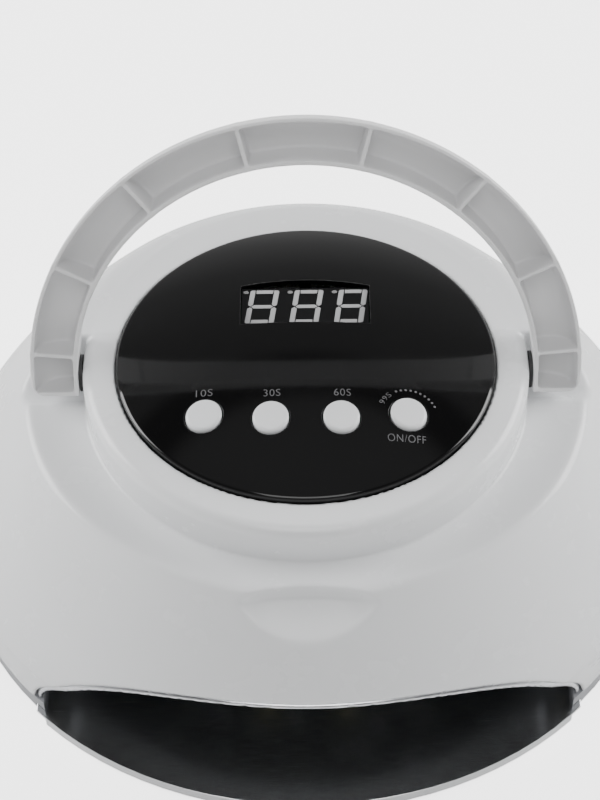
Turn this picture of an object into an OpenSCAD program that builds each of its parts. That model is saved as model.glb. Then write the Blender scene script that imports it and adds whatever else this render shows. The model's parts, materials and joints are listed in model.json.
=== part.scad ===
/* [Body] */
// Radius of the dome at its widest, left to right
belly_r = 130; // [129:0.5:132]
// Depth of the body as a share of its width
depth_ratio = 0.92; // [0.92:0.005:0.94]
// Height of the flat top and of the collar
top_z = 100; // [99.8:0.1:100.4]
// How far the shoulder draws in from the belly to the top
shoulder_drop = 47; // [46:0.5:47]
// Height of the shell's lower edge
edge_z = 10; // [9.5:0.5:10]
// Wall thickness of the shell
shell_t = 2.5; // [2.3:0.1:2.6]

/* [Collar and handle] */
// Outer radius of the collar
collar_r = 76.5; // [76.2:0.1:76.6]
// Height of the handle's hinge axis
pivot_z = 92; // [91.8:0.1:92]
// Height of the seat that the folded handle lies on
seat_z = 84.5; // [84:0.1:84.6]
// Inner radius of the handle's arch
handle_inner_r = 77.8; // [77.5:0.1:77.9]
// Outer radius of the handle's arch
handle_outer_r = 94.2; // [93.6:0.2:94.6]
// Depth of the handle's channel
handle_depth = 13; // [12.4:0.2:13]
// How far the raised handle leans back, in degrees
handle_lean = 19; // [15:1:19]

/* [Control panel] */
// Half width of the black panel
panel_a = 64.9; // [64.5:0.1:65]
// Half depth of the black panel
panel_b = 62.1; // [61.5:0.1:62.4]
// Height of the panel's highest point
panel_apex = 109.9; // [109.7:0.1:110.2]
// Radius of a button
button_r = 6; // [5.6:0.1:6.2]
// Height of a digit
digit_h = 15.6; // [14.6:0.1:15.8]

/* [Hand opening and base] */
// Half width of the hand opening
arch_a = 93.5; // [93:0.5:94.5]
// Height of the hand opening's top above the table
arch_top = 50; // [47:1:50]
// Height of the liner's ceiling
ceiling_z = 62; // [61.5:0.1:62]
// Half width of the removable tray
tray_half_w = 95.5; // [95.5:0.5:96.5]
// Height of the rubber feet
foot_h = 3; // [2.8:0.1:3]

/* [Hidden] */
$fn = 64;

shell_white = [0.93, 0.93, 0.92];
panel_black = [0.05, 0.05, 0.055];
part_black = [0.12, 0.12, 0.13];
board_green = [0.10, 0.32, 0.20];
board_white = [0.90, 0.90, 0.86];
led_yellow = [0.86, 0.85, 0.70];

gap = 0.3;              // clearance between pieces that don't touch
over = 1;               // how far a cutting shape runs past the face it cuts
seg = 96;               // points round an oval
far = 2 * belly_r;

// Dome and collar
belly_z = 32;
dome_steps = 14;
shoulder_exp = 1.33;
foot_tuck = 1.5;
top_round_h = 6;
top_round_w = 3;
collar_round = 4;
swing_r = 10.3;         // room round the hinge for the handle's ends
scoop_edge = 86;        // finger scoop: its upright wall, and its hollow floor that slopes to the front
scoop_wall_r = 76;
scoop_floor_z = 78.9;
scoop_half = [23.8, 5.2];
scoop_slope = 31.3;

// Hinge and handle
stub_r = 4;
stub_fit = 0.05;
boss_r = 7;
boss_in_x = 69;
pin_screw_r = 1.4;
arch_rise = 1.5;          // height of the arch's centre above the hinge axis
end_len = 7.2;            // straight end below the arch's centre
end_round = 5;
inner_wall = 1.7;
skin = 1.4;
rib_angles = [5.5, 26.5, 50.5, 76.5];

// Panel, buttons and display
panel_y = -2.1;
panel_dome_r = 240;
panel_t = 2.2;
panel_seat = 97.6;
lip_z = 95.4;
button_at = [[-33.8, -31.9], [-11.65, -34.3], [11.65, -34.3], [33.8, -31.9]];
button_gap = 0.35;
button_proud = 1.2;
flange_r = 7.4;
flange_top = 99.4;
stem_r = 1.6;
board_z = 90;
board_t = 1.6;
board_r = 59;
board_boss_at = [[-44, 12], [44, 12], [-22, -50], [22, -50]];
switch_h = 5;
window_y = 16.55;
window_half = [22.2, 9.75];
window_bow = 2;           // how far the rear edge bows out at its middle
window_skirt = 1.2;
module_half = [22, 9.55];
module_top = 106;
module_h = 8.5;
digit_at = [0.45, 17.4];
digit_pitch = 15.35;
digit_w = 10;
digit_slant = 0.13;
digit_bar = 1.7;
dot_at = [-5.6, 0.9];     // a dot's centre from its digit's centre, and down from its top
dot_size = [1.9, 1.4];
print_t = 0.3;

// Liner and light boards
liner_a = 112;
liner_ratio = 0.9;
liner_b = liner_a * liner_ratio;
liner_t = 2;
liner_wall_z = 42;
ceiling_a = 88;
led_r = 2.5;
led_reach = 4.5;
led_z = 34;
strip_t = 1;
top_board_z = ceiling_z + 1.5;
side_led_turn = [-11, 0, 11];
rear_led_turn = [72, 84, 96, 108];
led_boss_at = [[-66, 2], [66, 2], [-36, 56], [36, 56], [0, -56]];
standoff_at = [[-40, -12], [40, -12], [-40, 42], [40, 42]];
sensor_at = [[-36, -50], [36, -50]];
power_z = 74;
sink_at = [-20, 4];
coil_at = [20, 30];

// Base
frame_top = edge_z - gap;
frame_inset = 2;
rail_lap = 3;
tray_z = foot_h + 1.4;
tray_t = 1;
tray_rear = 83.4;
tray_rear_w = 50;         // half width of the tray's rear edge; its corners are cut off
tray_side_y = 50;
magnet_at = 38;
post_at = [[-108.3, -46], [108.3, -46], [-50.5, 98.6], [50.5, 98.6]];
liner_post_at = [[-108, 35.6], [108, 35.6], [-20, 102.4], [20, 102.4]];
foot_at = [[-103, -58], [103, -58], [-64, 91], [64, 91]];
foot_r = 5.5;
screw_r = 1.5;
jack_z = 24;
jack_face = 119.2;

// Radius of the dome at height z, across its width
function dome_r(z) =
    z > belly_z
    ? belly_r - shoulder_drop * pow((z - belly_z) / (top_z - belly_z), shoulder_exp)
        - top_round_w * pow(max(0, (z - top_z + top_round_h) / top_round_h), 3)
    : belly_r - foot_tuck * pow((belly_z - z) / (belly_z - edge_z), 2);

function oval(a, b) = [for (i = [0:seg - 1]) [a * cos(360 * i / seg), b * sin(360 * i / seg)]];

// Outline of a strip of thickness t along a path of points
function strip(path, t) =
    let (n = len(path))
    let (side = [for (i = [0:n - 1])
        let (d = path[min(i + 1, n - 1)] - path[max(i - 1, 0)])
        [-d[1], d[0]] * t / 2 / norm(d)])
    concat([for (i = [0:n - 1]) path[i] + side[i]], [for (i = [n - 1:-1:0]) path[i] - side[i]]);

// Closed solid through a stack of rings with the same number of points
module stack_rings(rings) {
    n = len(rings[0]);
    m = len(rings);
    sides = [for (k = [0:m - 2]) for (i = [0:n - 1])
        [k * n + i, (k + 1) * n + i, (k + 1) * n + (i + 1) % n, k * n + (i + 1) % n]];
    polyhedron([for (r = rings) each r],
        concat(sides, [[for (i = [0:n - 1]) i], [for (i = [n - 1:-1:0]) (m - 1) * n + i]]));
}

module at_each(places, z = 0) {
    for (p = places) translate([p[0], p[1], z]) children();
}

module both_sides() {
    children();
    mirror([1, 0, 0]) children();
}

// Round bars along X and along Y
module bar_x(r, from, to, y, z) {
    translate([from, y, z]) rotate([0, 90, 0]) cylinder(r = r, h = to - from);
}

module bar_y(r, from, to, x, z) {
    translate([x, from, z]) rotate([-90, 0, 0]) cylinder(r = r, h = to - from);
}

// Box between two corners
module box(a, b) {
    translate(a) cube(b - a);
}

module oval_prism(a, b, from, to, y = 0) {
    translate([0, y, from]) linear_extrude(height = to - from) polygon(oval(a, b));
}

// A pan-head screw standing on its point, head uppermost
module screw(shank_r, shank, head_r, head) {
    cylinder(r = shank_r, h = shank);
    translate([0, 0, shank]) difference() {
        cylinder(r = head_r, h = head);
        box([-head_r * 0.6, -0.35, head / 2], [head_r * 0.6, 0.35, head + over]);
        box([-0.35, -head_r * 0.6, head / 2], [0.35, head_r * 0.6, head + over]);
    }
}

// The dome's outer form, drawn in by inset on every side
module dome(inset = 0) {
    span = top_z - edge_z;
    stack_rings([for (k = [0:dome_steps])
        let (s = k / dome_steps, z = edge_z + span * (1 - pow(1 - s, 1.5)), r = dome_r(z))
        let (h = k == 0 && inset > 0 ? edge_z - over : z - inset * s)
        [for (p = oval(r - inset, (r - inset) * depth_ratio)) [p[0], p[1], h]]]);
}

// What the folded handle and its swing need outside the collar
module seat_cut(grow = 0) {
    difference() {
        union() {
            box([-far, -far, seat_z - grow], [far, 0, far]);
            bar_x(swing_r + grow, -far, far, 0, pivot_z);
            box([-far, -swing_r - grow, pivot_z], [far, swing_r + grow, far]);
        }
        translate([0, 0, edge_z]) cylinder(r = collar_r - grow, h = far, $fn = 128);
    }
}

// The half-moon hollow that lets a finger under the folded handle
module finger_scoop(grow = 0) {
    intersection() {
        translate([0, -scoop_edge - scoop_wall_r, 50])
            cylinder(r = scoop_wall_r + grow, h = 60, $fn = 180);
        translate([0, -scoop_edge, scoop_floor_z]) rotate([scoop_slope, 0, 0])
            rotate([90, 0, 0]) linear_extrude(height = 100, center = true) polygon(concat(
                [for (i = [0:36]) let (t = 180 + 5 * i)
                    [(scoop_half[0] + grow) * cos(t), scoop_half[1] + (scoop_half[1] + grow) * sin(t)]],
                [[scoop_half[0] + grow, 60], [-scoop_half[0] - grow, 60]]));
    }
}

// The round collar with its softened top edge
module collar(inset = 0) {
    r = collar_r - inset;
    z = top_z - inset;
    c = collar_round - inset;
    low = seat_z - inset - over;
    rotate_extrude($fn = 128) union() {
        translate([0, low]) square([r, z - c - low]);
        translate([0, z - c - over]) square([r - c, c + over]);
        translate([r - c, z - c]) intersection() {
            circle(r = c);
            square([c, c]);
        }
    }
}

// The shell's form: dome, seat and scoop cut away, collar standing up
module body_form(inset = 0) {
    difference() {
        dome(inset);
        seat_cut(inset);
        finger_scoop(inset);
    }
    collar(inset);
}

// Outline of the hand opening, seen from the front, as a solid along Y
module arch_prism(grow, from, to) {
    translate([0, to, 0]) rotate([90, 0, 0]) linear_extrude(height = to - from)
        polygon([for (i = [0:48]) let (t = 180 * i / 48, c = cos(t))
            [(arch_a + grow) * sign(c) * pow(abs(c), 0.75), (arch_top + grow) * pow(abs(sin(t)), 0.75)]]);
}

// Screw posts inside the shell, each with a rib out to the wall
module shell_posts() {
    for (p = post_at) translate([p[0], p[1], edge_z]) {
        cylinder(r = 4, h = 16);
        rotate([0, 0, atan2(p[1], p[0])]) box([0, -1, 0], [14, 1, 14]);
    }
}

module top_shell() {
    color(shell_white) difference() {
        union() {
            difference() {
                body_form();
                body_form(shell_t);
            }
            intersection() {
                shell_posts();
                dome(shell_t / 2);
            }
            both_sides() bar_x(boss_r, boss_in_x, collar_r - shell_t / 2, 0, pivot_z);
            oval_prism(panel_a + 1.4, panel_b + 1.4, lip_z, top_z - shell_t / 2, panel_y);
        }
        oval_prism(panel_a - 2.6, panel_b - 2.6, lip_z - over, top_z + over, panel_y);
        oval_prism(panel_a + gap, panel_b + gap, panel_seat, top_z + over, panel_y);
        arch_prism(liner_t + gap, -belly_r, -40);
        both_sides() bar_x(stub_r + stub_fit, boss_in_x - over, collar_r + over, 0, pivot_z);
        bar_y(7.3, 105, belly_r, 0, jack_z);
        at_each(post_at, edge_z - over) cylinder(r = screw_r + stub_fit, h = 13);
    }
}

// The sphere that the panel's face belongs to, its radius less drop
module panel_ball(drop) {
    translate([0, panel_y, panel_apex - panel_dome_r]) sphere(r = panel_dome_r - drop, $fn = 160);
}

// The window, grown by grow: three straight edges and a rear edge that bows out
module window_prism(grow, from, to) {
    w = window_half[0] + grow;
    d = window_half[1] + grow;
    translate([0, window_y, from]) linear_extrude(height = to - from)
        polygon(concat([[-w, -d], [w, -d]],
            [for (i = [0:16]) let (k = 1 - i / 8) [k * w, d + window_bow * (1 - k * k)]]));
}

module display_panel() {
    color(panel_black) difference() {
        union() {
            difference() {
                intersection() {
                    oval_prism(panel_a, panel_b, panel_seat, panel_apex + over, panel_y);
                    panel_ball(0);
                }
                intersection() {
                    oval_prism(panel_a - panel_t, panel_b - panel_t, panel_seat - over, far, panel_y);
                    panel_ball(panel_t);
                }
            }
            intersection() {
                union() {
                    at_each(button_at, flange_top + gap) cylinder(r = flange_r + 0.4, h = 20);
                    at_each(board_boss_at, board_z + board_t) cylinder(r = 3.2, h = 30);
                    window_prism(window_skirt, module_top + gap, panel_apex);
                }
                panel_ball(panel_t / 2);
            }
        }
        window_prism(0, board_z, far);
        at_each(button_at, board_z) cylinder(r = button_r + button_gap, h = 40);
        at_each(board_boss_at, board_z) cylinder(r = 1.15, h = 8);
    }
}

// One button: a cap under the panel's sphere, its flange and the stem that works the switch
module button(i) {
    stem_low = board_z + board_t + switch_h - 1;
    color(shell_white) {
        intersection() {
            at_each([button_at[i]], flange_top - over) cylinder(r = button_r, h = 20);
            panel_ball(-button_proud);
        }
        at_each([button_at[i]], flange_top - over) cylinder(r = flange_r, h = over);
        at_each([button_at[i]], stem_low) cylinder(r = stem_r, h = flange_top - stem_low - over / 2);
    }
}

module display_module() {
    w = module_half[0];
    d = module_half[1];
    color(part_black) difference() {
        translate([0, window_y, module_top - module_h]) box([-w, -d, 0], [w, d, module_h]);
        digit_bars(print_t, over);
    }
}

// Centre, width and height of each of the seven bars of a digit
function bars() =
    let (h = digit_h / 2, w = digit_w / 2, b = digit_bar)
    let (flat = digit_w - 2 * b - 0.4, tall = h - 0.3, x = w - b / 2, y = h / 2)
    concat([for (k = [-1:1]) [0, k * (h - b / 2), flat, b]],
        [for (sx = [-1, 1]) for (sy = [-1, 1]) [sx * x, sy * y, b, tall]]);

// The bars and dots of the three digits, let depth into the module's face
module digit_bars(depth, above = 0) {
    translate([digit_at[0], digit_at[1], module_top - depth]) linear_extrude(height = depth + above)
        for (d = [-1:1]) translate([d * digit_pitch, 0]) {
            for (s = bars()) polygon([for (c = [[-1, -1], [1, -1], [1, 1], [-1, 1]])
                let (x = s[0] + c[0] * s[2] / 2, y = s[1] + c[1] * s[3] / 2) [x + digit_slant * y, y]]);
            translate([dot_at[0], digit_h / 2 - dot_at[1]]) square(dot_size, center = true);
        }
}

module display_segments() {
    color([0.62, 0.62, 0.62]) digit_bars(print_t);
}

module display_holder() {
    w = module_half[0];
    d = module_half[1];
    h = module_top - module_h - board_z - board_t;
    color(part_black) translate([0, window_y, board_z + board_t]) difference() {
        box([-w, -d, 0], [w, d, h]);
        box([-w + 2, -d + 2, -over], [w - 2, d - 2, h + over]);
    }
}

module control_board() {
    color(board_green) difference() {
        translate([0, panel_y, board_z]) cylinder(r = board_r, h = board_t);
        at_each(board_boss_at, board_z - over) cylinder(r = 1.15, h = board_t + 2 * over);
        box([-far, 40, 0], [far, far, far]);
    }
}

module tact_switches() {
    color([0.2, 0.2, 0.2]) at_each(button_at, board_z + board_t) difference() {
        box([-3.5, -3.5, 0], [3.5, 3.5, switch_h]);
        translate([0, 0, 2]) cylinder(r = stem_r + 0.4, h = switch_h);
    }
}

module panel_screws() {
    color("silver") at_each(board_boss_at, board_z + 7) mirror([0, 0, 1]) screw(1.1, 7, 2.4, 1.5);
}

// Section of the handle's channel, x outward from the arch's centre, y to the back
module channel_section(r0, w, back) {
    front = -handle_depth / 2;
    polygon(concat([[r0, front]], [for (i = [0:20]) let (t = 90 * i / 20)
        [r0 + w * pow(cos(t), 0.85), front + (back - front) * pow(sin(t), 0.85)]]));
}

// The arch and its straight ends, for a section given as a child
module handle_sweep(end) {
    mirror([0, 1, 0]) rotate([90, 0, 0]) rotate_extrude(angle = 180, $fn = 128) children();
    both_sides() translate([0, 0, -end]) linear_extrude(height = end) children();
}

module channel_hollow() {
    front = -handle_depth / 2;
    r0 = handle_inner_r + inner_wall;
    w = handle_outer_r - r0 - skin;
    channel_section(r0, w, handle_depth / 2 - skin);
    translate([r0, front - over]) square([w, over + 0.01]);
}

module carry_handle() {
    width = handle_outer_r - handle_inner_r;
    color(shell_white) translate([0, 0, pivot_z]) rotate([-handle_lean, 0, 0]) difference() {
        union() {
            translate([0, 0, arch_rise]) {
                difference() {
                    handle_sweep(end_len) channel_section(handle_inner_r, width, handle_depth / 2);
                    handle_sweep(end_len - 1.6) channel_hollow();
                }
                both_sides() for (t = rib_angles) rotate([0, -t, 0]) translate([0, 0, -0.7])
                    linear_extrude(height = 1.4) intersection() {
                        channel_section(handle_inner_r + 0.5, width - 0.9, handle_depth / 2 - 0.5);
                        translate([0, -handle_depth / 2 + 0.3]) square([far, handle_depth]);
                    }
            }
            both_sides() bar_x(stub_r, boss_in_x - gap, handle_inner_r + 0.8, 0, 0);
        }
        both_sides() bar_x(pin_screw_r + stub_fit, boss_in_x - over, handle_inner_r, 0, 0);
        both_sides() translate([handle_outer_r - end_round, 0, arch_rise + end_round - end_len])
            rotate([90, 0, 0]) linear_extrude(height = 2 * handle_depth, center = true) difference() {
                translate([0, -end_round - over]) square([end_round + over, end_round + over]);
                circle(r = end_round);
            }
    }
}

module handle_screws() {
    shank = handle_inner_r - 1 - boss_in_x + gap;
    color("silver") both_sides() translate([handle_inner_r - 1, 0, pivot_z]) rotate([0, -90, 0])
        screw(pin_screw_r, shank, 5.2, 1.8);
}

module hinge_washers() {
    color(part_black) both_sides() difference() {
        bar_x(6.4, collar_r + stub_fit, handle_inner_r - 0.25, 0, pivot_z);
        bar_x(stub_r + stub_fit, collar_r, handle_inner_r, 0, pivot_z);
    }
}

// The liner's cavity form: straight walls, then a sloping shoulder up to the ceiling
module liner_form(inset, low) {
    rings = [[liner_a, low], [liner_a, liner_wall_z], [liner_a - 3.5, 50], [liner_a - 12, 57],
        [ceiling_a, ceiling_z - inset]];
    stack_rings([for (p = rings) let (a = p[0] - inset)
        [for (q = oval(a, a * liner_ratio)) [q[0], q[1], p[1]]]]);
}

function ceiling_leds() = concat([[0, 4]],
    [for (i = [0:5]) [27 * cos(60 * i), 4 + 25 * sin(60 * i)]],
    [for (i = [0:11]) [58 * cos(30 * i + 15), 4 + 50 * sin(30 * i + 15)]]);

// Puts a child on the liner's wall, its Z axis pointing outward there
module on_wall(turn, z) {
    translate([liner_a * cos(turn), liner_b * sin(turn), z])
        rotate([0, 90, atan2(sin(turn) / liner_b, cos(turn) / liner_a)]) children();
}

function all_wall_turns() =
    concat(side_led_turn, [for (t = side_led_turn) 180 - t], rear_led_turn);

module inner_liner() {
    color([0.80, 0.81, 0.83]) difference() {
        union() {
            liner_form(0, frame_top);
            intersection() {
                arch_prism(liner_t, -belly_r, -40);
                dome(gap);
                box([-far, -far, frame_top], [far, 0, far]);
            }
            at_each(liner_post_at, frame_top) cylinder(r = 3.3, h = 14);
            at_each(led_boss_at, ceiling_z - over) cylinder(r = 3, h = top_board_z - ceiling_z + over);
        }
        liner_form(liner_t, frame_top - over);
        arch_prism(0, -far, -20);
        at_each(concat(ceiling_leds(), sensor_at), ceiling_z - 5) cylinder(r = led_r + 0.4, h = 10);
        for (t = all_wall_turns()) on_wall(t, led_z) translate([0, 0, -5]) cylinder(r = led_r + 0.4, h = 10);
        at_each(liner_post_at, frame_top - over) cylinder(r = 1.25, h = 12);
        at_each(led_boss_at, ceiling_z - 1.5) cylinder(r = 1.05, h = 5);
    }
}

module led_board_top() {
    color(board_white) difference() {
        oval_prism(74, 66, top_board_z, top_board_z + board_t, 2);
        at_each(led_boss_at, top_board_z - over) cylinder(r = 1.05, h = 2 * over + board_t);
    }
}

// A flexible light strip wrapped round the liner's wall between two angles
module wall_strip(from, to) {
    color(board_white) translate([0, 0, led_z - 8]) linear_extrude(height = 16)
        polygon(strip([for (i = [0:12]) let (t = from + (to - from) * i / 12, d = gap + strip_t / 2)
            [(liner_a + d) * cos(t), (liner_b + d) * sin(t)]], strip_t));
}

module led_board_left() {
    wall_strip(164, 196);
}

module led_board_right() {
    wall_strip(-16, 16);
}

module led_board_rear() {
    wall_strip(66, 114);
}

// LED beads: a lens through the liner on a square package against the board
module led_emitters_top() {
    h = top_board_z - ceiling_z + liner_t + 0.6;
    color(led_yellow) at_each(ceiling_leds(), top_board_z - h) {
        cylinder(r = led_r, h = h);
        box([-2.9, -2.9, h - 1.2], [2.9, 2.9, h]);
    }
}

module wall_emitters(turns) {
    color(led_yellow) for (t = turns) on_wall(t, led_z) translate([0, 0, -led_reach])
        cylinder(r = led_r, h = led_reach + 0.2);
}

module led_emitters_left() {
    wall_emitters([for (t = side_led_turn) 180 - t]);
}

module led_emitters_right() {
    wall_emitters(side_led_turn);
}

module led_emitters_rear() {
    wall_emitters(rear_led_turn);
}

module hand_sensors() {
    h = top_board_z - ceiling_z + liner_t;
    color(part_black) at_each(sensor_at, top_board_z - h) cylinder(r = led_r, h = h);
}

module board_screws() {
    color("silver") at_each(led_boss_at, ceiling_z - 1.4)
        screw(1, top_board_z + board_t - ceiling_z + 1.4, 2.2, 1.4);
}

module board_standoffs() {
    color([0.75, 0.62, 0.30]) at_each(standoff_at, top_board_z + board_t) difference() {
        cylinder(r = 2.6, h = power_z - top_board_z - board_t);
        translate([0, 0, 3]) cylinder(r = 1.05, h = 10);
    }
}

module power_board() {
    color(board_green) difference() {
        box([-45, -17, power_z], [45, 47, power_z + board_t]);
        at_each(standoff_at, power_z - over) cylinder(r = 1.05, h = board_t + 2 * over);
    }
}

module power_screws() {
    color("silver") at_each(standoff_at, power_z - 4) screw(1, 4 + board_t, 2.2, 1.4);
}

module inductor() {
    color([0.15, 0.15, 0.16]) at_each([coil_at], power_z + board_t) difference() {
        cylinder(r = 9.5, h = 9);
        translate([0, 0, 2]) difference() {
            cylinder(r = 9.6, h = 5);
            cylinder(r = 8.2, h = 5);
        }
        translate([0, 0, -over]) cylinder(r = 2, h = 12);
    }
}

module capacitors() {
    color([0.16, 0.18, 0.30]) {
        at_each([[-30, 32], [-14, 34]], power_z + board_t) cylinder(r = 6, h = 11.5);
        at_each([[38, 8], [38, -3]], power_z + board_t) cylinder(r = 4, h = 9);
    }
}

module heat_sink() {
    color([0.72, 0.73, 0.75]) at_each([sink_at], power_z + board_t) union() {
        box([-17, -11, 0], [17, 11, 2.2]);
        for (i = [0:6]) translate([-15.6 + 5.2 * i, 0, 0]) box([-0.7, -11, 2], [0.7, 11, 10.5]);
    }
}

// A flat lead that runs through points [y, z], between two x values
module lead_yz(path, from_x, to_x, t) {
    rotate([90, 0, 90]) translate([0, 0, from_x])
        linear_extrude(height = to_x - from_x) polygon(strip(path, t));
}

// A flat lead that runs through points [x, z], between two y values
module lead_xz(path, from_y, to_y, t) {
    rotate([90, 0, 0]) translate([0, 0, -to_y])
        linear_extrude(height = to_y - from_y) polygon(strip(path, t));
}

module control_ribbon() {
    low = power_z + board_t;
    color([0.75, 0.75, 0.78]) lead_yz([[-14, low], [-14, low + 3], [-17, low + 6], [-24, low + 9],
        [-27, low + 11.5], [-27, board_z]], -9, 9, 0.8);
}

module jack_lead() {
    color([0.15, 0.15, 0.15]) lead_yz([[108, 30], [108, 44], [101, 60], [88, 69], [70, 76], [52, 77.4],
        [46.5, 77.3], [44, power_z + board_t + 0.5]], -2, 2, 1);
}

module led_lead_right() {
    led_lead();
}

module led_lead_left() {
    mirror([1, 0, 0]) led_lead();
}

module led_lead() {
    path = [[42, power_z + board_t + 0.4], [44.5, 77.4], [50, 77.6], [64, 76.5], [84, 70], [100, 60.5],
        [111, 50], [112.6, 43], [112.6, 38]];
    color([0.7, 0.15, 0.12]) lead_xz(path, 14, 18, 0.8);
}

module dc_jack() {
    color(part_black) difference() {
        union() {
            box([-7, 104, jack_z - 6], [7, 114, jack_z + 6]);
            bar_y(9, 113.6, 116.3, 0, jack_z);
            bar_y(7, 116, jack_face, 0, jack_z);
        }
        difference() {
            bar_y(2.75, jack_face - 9, jack_face + over, 0, jack_z);
            bar_y(1, jack_face - 10, jack_face - over, 0, jack_z);
        }
    }
}

// Plan of the tray grown by grow, running out at the front, as a solid between two heights
module tray_plan(grow, from, to) {
    w = tray_half_w + grow;
    rear = tray_rear + max(grow, 0);
    translate([0, 0, from]) linear_extrude(height = to - from) polygon([[-w, -far], [w, -far],
        [w, tray_side_y + grow], [tray_rear_w + grow, rear], [-tray_rear_w - grow, rear],
        [-w, tray_side_y + grow]]);
}

// Where the tray slides: the open channel and the slots in its side rails
module tray_channel() {
    tray_plan(-rail_lap, 0, 2 * edge_z);
    tray_plan(gap, tray_z - gap, tray_z + tray_t + gap);
    box([-tray_rear_w - gap, 0, tray_z - gap], [tray_rear_w + gap, tray_rear + gap, 2 * edge_z]);
}

module base_frame() {
    a = belly_r - frame_inset;
    color([0.52, 0.53, 0.55]) difference() {
        oval_prism(a, a * depth_ratio, foot_h, frame_top);
        tray_channel();
        at_each(post_at, 0) cylinder(r = screw_r + 0.2, h = far);
        at_each(liner_post_at, 0) cylinder(r = screw_r + 0.2, h = far);
        at_each(concat(post_at, liner_post_at), 0) cylinder(r = 3.3, h = foot_h + 2.4);
        at_each(foot_at, 0) cylinder(r = foot_r + stub_fit, h = foot_h + 0.6);
        both_sides() bar_y(2.6, tray_rear, tray_rear + gap + 3, magnet_at, 6.4);
    }
}

// Folded steel tray: plate, turned-down front lip and turned-up rear edge
module base_tray() {
    a = belly_r;
    color([0.78, 0.79, 0.80]) union() {
        intersection() {
            oval_prism(a, a * depth_ratio, tray_z, tray_z + tray_t);
            tray_plan(0, 0, far);
        }
        intersection() {
            difference() {
                oval_prism(a, a * depth_ratio, 1, tray_z + 0.5);
                oval_prism(a - tray_t, a * depth_ratio - tray_t, 0, far);
            }
            box([-tray_half_w + rail_lap + gap, -far, 0], [tray_half_w - rail_lap - gap, 0, far]);
        }
        box([-tray_rear_w, tray_rear - tray_t, tray_z], [tray_rear_w, tray_rear, frame_top - 0.5]);
    }
}

module tray_magnets() {
    color([0.7, 0.7, 0.72]) both_sides() bar_y(2.6, tray_rear + gap, tray_rear + gap + 3, magnet_at, 6.4);
}

module rubber_feet() {
    color(part_black) at_each(foot_at, 0) cylinder(r = foot_r, h = foot_h + 0.6);
}

module shell_screws() {
    color("silver") at_each(post_at, 20) mirror([0, 0, 1]) screw(screw_r, 20 - foot_h - 2.4, 3, 1.8);
}

module liner_screws() {
    color("silver") at_each(liner_post_at, 18) mirror([0, 0, 1]) screw(1.2, 18 - foot_h - 2.4, 3, 1.8);
}

top_shell();
display_panel();
display_module();
display_segments();
display_holder();
button(0);  // button_10s
button(1);  // button_30s
button(2);  // button_60s
button(3);  // button_power
carry_handle();
handle_screws();
hinge_washers();
control_board();
tact_switches();
panel_screws();
inner_liner();
led_board_top();
led_board_left();
led_board_right();
led_board_rear();
led_emitters_top();
led_emitters_left();
led_emitters_right();
led_emitters_rear();
hand_sensors();
board_screws();
board_standoffs();
power_board();
power_screws();
inductor();
capacitors();
heat_sink();
control_ribbon();
jack_lead();
led_lead_left();
led_lead_right();
dc_jack();
base_frame();
base_tray();
tray_magnets();
rubber_feet();
shell_screws();
liner_screws();
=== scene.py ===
"""UV LED nail lamp: the looks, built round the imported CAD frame.

The moulded pieces are written as distance fields in millimetres, because a field takes fillets on
every edge. Each field becomes a mesh by surface nets, and its normals come from the field itself.
"""

import json
import math

import bpy
import numpy as np
from mathutils import Matrix, Vector


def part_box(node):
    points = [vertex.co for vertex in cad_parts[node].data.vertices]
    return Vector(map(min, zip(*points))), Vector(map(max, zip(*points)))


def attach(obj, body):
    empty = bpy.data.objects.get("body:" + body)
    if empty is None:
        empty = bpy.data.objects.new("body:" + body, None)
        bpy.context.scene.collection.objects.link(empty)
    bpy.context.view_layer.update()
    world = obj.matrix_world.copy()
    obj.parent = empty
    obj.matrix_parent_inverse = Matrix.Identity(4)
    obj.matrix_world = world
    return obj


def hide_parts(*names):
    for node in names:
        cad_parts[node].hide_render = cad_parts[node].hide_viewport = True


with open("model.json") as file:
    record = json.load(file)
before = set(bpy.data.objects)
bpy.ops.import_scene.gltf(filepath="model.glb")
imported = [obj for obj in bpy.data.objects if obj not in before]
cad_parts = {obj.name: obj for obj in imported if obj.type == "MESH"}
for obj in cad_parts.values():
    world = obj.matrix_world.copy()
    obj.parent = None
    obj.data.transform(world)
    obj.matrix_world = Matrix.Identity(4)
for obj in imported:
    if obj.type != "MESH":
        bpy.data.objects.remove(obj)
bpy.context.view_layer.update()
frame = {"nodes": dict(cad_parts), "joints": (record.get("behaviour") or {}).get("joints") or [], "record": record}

MM = 0.001


def box_mm(node):
    """Lowest and highest corner of a CAD node, in millimetres."""
    return [np.array(corner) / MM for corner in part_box(node)]


# ---------------------------------------------------------------- sizes, in millimetres
SHELL_LO, SHELL_HI = box_mm("top_shell")
PANEL_LO, PANEL_HI = box_mm("display_panel")
HANDLE_HI = box_mm("carry_handle")[1]
MODULE_LO, MODULE_HI = box_mm("display_module")
LINER_LO, LINER_HI = box_mm("inner_liner")
JACK_LO, JACK_HI = box_mm("dc_jack")
HINGE = next(j for j in frame["joints"] if j["name"] == "handle_hinge")
PIVOT = np.array(HINGE["pos_m"]) / MM

# Shell
BELLY_R = 130.0
BELLY_Z = 32.0
DEPTH_RATIO = 0.92
TOP_Z = SHELL_HI[2]
EDGE_Z = SHELL_LO[2]
SHELL_T = 2.5
SHOULDER_DROP, SHOULDER_EXP = 47.0, 1.33
TOP_ROUND_H, TOP_ROUND_W = 6.0, 3.0
FOOT_TUCK = 1.5
COLLAR_R = 76.5
SEAT_Z = 84.5
SWING_R = 10.3
SCOOP_EDGE, SCOOP_WALL_R = 86.0, 76.0
SCOOP_FLOOR_Z, SCOOP_SLOPE = 78.9, math.radians(31.3)
SCOOP_HALF_W, SCOOP_DEPTH = 23.8, 5.2
LIP_Z, LIP_OUT, LIP_IN = 95.4, 1.4, 2.6
PANEL_SEAT = 97.6
JACK_BORE = 7.3
STUB_R = 4.0

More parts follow.
